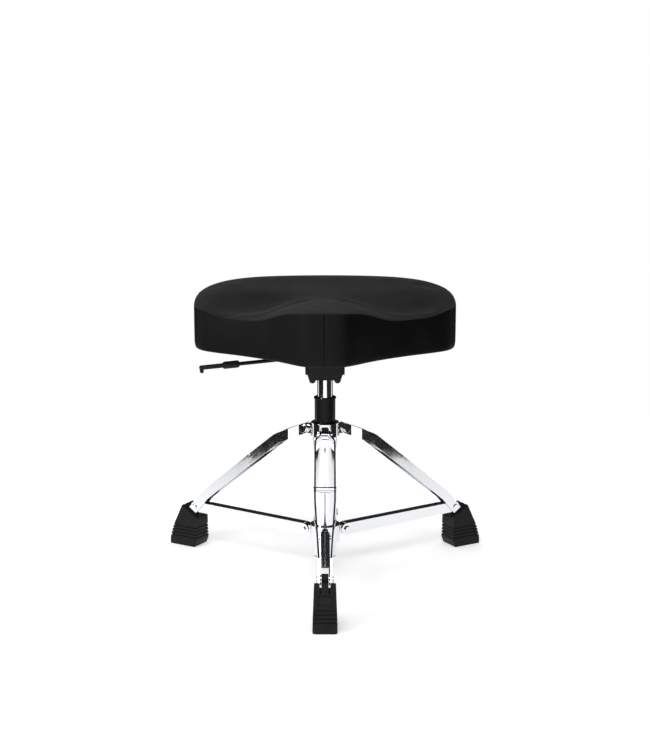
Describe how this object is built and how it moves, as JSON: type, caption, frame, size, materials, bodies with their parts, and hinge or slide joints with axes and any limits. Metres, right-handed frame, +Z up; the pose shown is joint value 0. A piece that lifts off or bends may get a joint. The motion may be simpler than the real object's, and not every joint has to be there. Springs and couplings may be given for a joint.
{
  "type": "drum throne",
  "caption": "Height-adjustable saddle-seat drum throne with a gas-lift column, a release lever and a folding double-braced tripod on rubber feet.",
  "frame": {"origin": "centre of the object's box on the floor; the column axis stands 75.8 mm behind it", "axes": "+Z up, -Y towards the nose of the seat and the front foot, +X across the two rear feet"},
  "size_m": [0.5968, 0.5184, 0.5228],
  "materials": {
    "velour": "matte napped black fabric",
    "vinyl": "semi-matte black vinyl with fine grain",
    "foam": "cream moulded foam",
    "plywood": "plain birch plywood",
    "dust_cloth": "thin black non-woven cloth",
    "zinc": "bright zinc plate",
    "black_metal": "satin black powder coat",
    "chrome": "polished chrome plate",
    "steel": "ground steel",
    "black_plastic": "black moulded nylon",
    "rubber": "black moulded rubber"
  },
  "bodies": {
    "stand": {"base_tube": "chrome", "column_tube": "black_metal", "column_bushing": "black_plastic", "base_plug": "black_plastic", "column_end_plate": "steel", "lower_race": "steel", "bearing_balls": "steel", "upper_collar": "chrome", "hinge_bolts": "chrome"},
    "lift_rod": {"piston_rod": "steel", "upper_race": "steel", "bumper": "rubber", "retaining_clip": "steel"},
    "seat": {"seat_top_cover": "velour", "seat_side_cover": "vinyl", "foam_pad": "foam", "seat_board": "plywood", "bottom_cloth": "dust_cloth", "tee_nuts": "zinc", "seat_bolts": "zinc", "seat_washers": "zinc", "seat_plate": "black_metal", "lever_housing": "black_metal", "housing_caps": "black_plastic", "lever_pivot_pin": "zinc", "gas_cylinder": "chrome"},
    "lever": {"lever_rod": "black_metal", "lever_sleeve": "black_plastic", "lever_grip": "black_plastic"},
    "valve": {"valve_button": "steel"},
    "collar": {"lower_collar": "chrome", "brace_bolts": "chrome"},
    "wing": {"wing_bolt": "chrome"},
    "front_leg": {"front_strip_a": "chrome", "front_strip_b": "chrome", "front_spacer": "chrome", "front_foot_rivets": "chrome", "front_foot": "rubber", "front_foot_pin": "steel"},
    "front_brace_arm": {"front_brace": "chrome"},
    "rear_right_leg": {"rear_right_strip_a": "chrome", "rear_right_strip_b": "chrome", "rear_right_spacer": "chrome", "rear_right_foot_rivets": "chrome", "rear_right_foot": "rubber", "rear_right_foot_pin": "steel"},
    "rear_right_brace_arm": {"rear_right_brace": "chrome"},
    "rear_left_leg": {"rear_left_strip_a": "chrome", "rear_left_strip_b": "chrome", "rear_left_spacer": "chrome", "rear_left_foot_rivets": "chrome", "rear_left_foot": "rubber", "rear_left_foot_pin": "steel"},
    "rear_left_brace_arm": {"rear_left_brace": "chrome"}
  },
  "joints": [
    {"name": "seat_swivel", "type": "hinge", "parent": "stand", "child": "lift_rod", "pos_m": [0, 0.07576, 0.05], "axis": [0, 0, 1], "continuous": true},
    {"name": "seat_height", "type": "slide", "parent": "lift_rod", "child": "seat", "axis": [0, 0, 1], "range_m": [0, 0.13]},
    {"name": "lever_pull", "type": "hinge", "parent": "seat", "child": "lever", "pos_m": [-0.03, 0.07576, 0.4005], "axis": [0, 1, 0], "range_deg": [0, 5]},
    {"name": "valve_press", "type": "slide", "parent": "seat", "child": "valve", "axis": [0, 0, -1], "range_m": [0, 0.0027]},
    {"name": "stand_fold", "type": "slide", "parent": "stand", "child": "collar", "axis": [0, 0, 1], "range_m": [0, 0.1264]},
    {"name": "wing_turn", "type": "hinge", "parent": "collar", "child": "wing", "pos_m": [0, 0.12576, 0.071], "axis": [0, 1, 0], "range_deg": [0, 180]},
    {"name": "front_leg_fold", "type": "hinge", "parent": "stand", "child": "front_leg", "pos_m": [0, 0.03576, 0.263], "axis": [1, 0, 0], "range_deg": [0, 46]},
    {"name": "front_brace_fold", "type": "hinge", "parent": "collar", "child": "front_brace_arm", "pos_m": [0, 0.03336, 0.071], "axis": [1, 0, 0], "range_deg": [0, 83.72]},
    {"name": "rear_right_leg_fold", "type": "hinge", "parent": "stand", "child": "rear_right_leg", "pos_m": [0.03464, 0.09576, 0.263], "axis": [-0.5, 0.866, 0], "range_deg": [0, 46]},
    {"name": "rear_right_brace_fold", "type": "hinge", "parent": "collar", "child": "rear_right_brace_arm", "pos_m": [0.03672, 0.09695, 0.071], "axis": [-0.5, 0.866, 0], "range_deg": [0, 83.72]},
    {"name": "rear_left_leg_fold", "type": "hinge", "parent": "stand", "child": "rear_left_leg", "pos_m": [-0.03464, 0.09576, 0.263], "axis": [-0.5, -0.866, 0], "range_deg": [0, 46]},
    {"name": "rear_left_brace_fold", "type": "hinge", "parent": "collar", "child": "rear_left_brace_arm", "pos_m": [-0.03672, 0.09695, 0.071], "axis": [-0.5, -0.866, 0], "range_deg": [0, 83.72]}
  ],
  "couplings": [
    {"joint": "valve_press", "follows": "lever_pull", "m_per_rad": 0.03},
    {"joint": "front_leg_fold", "follows": "stand_fold", "rad_per_m": 6.346},
    {"joint": "front_brace_fold", "follows": "stand_fold", "rad_per_m": 11.546},
    {"joint": "rear_right_leg_fold", "follows": "stand_fold", "rad_per_m": 6.346},
    {"joint": "rear_right_brace_fold", "follows": "stand_fold", "rad_per_m": 11.546},
    {"joint": "rear_left_leg_fold", "follows": "stand_fold", "rad_per_m": 6.346},
    {"joint": "rear_left_brace_fold", "follows": "stand_fold", "rad_per_m": 11.546}
  ]
}
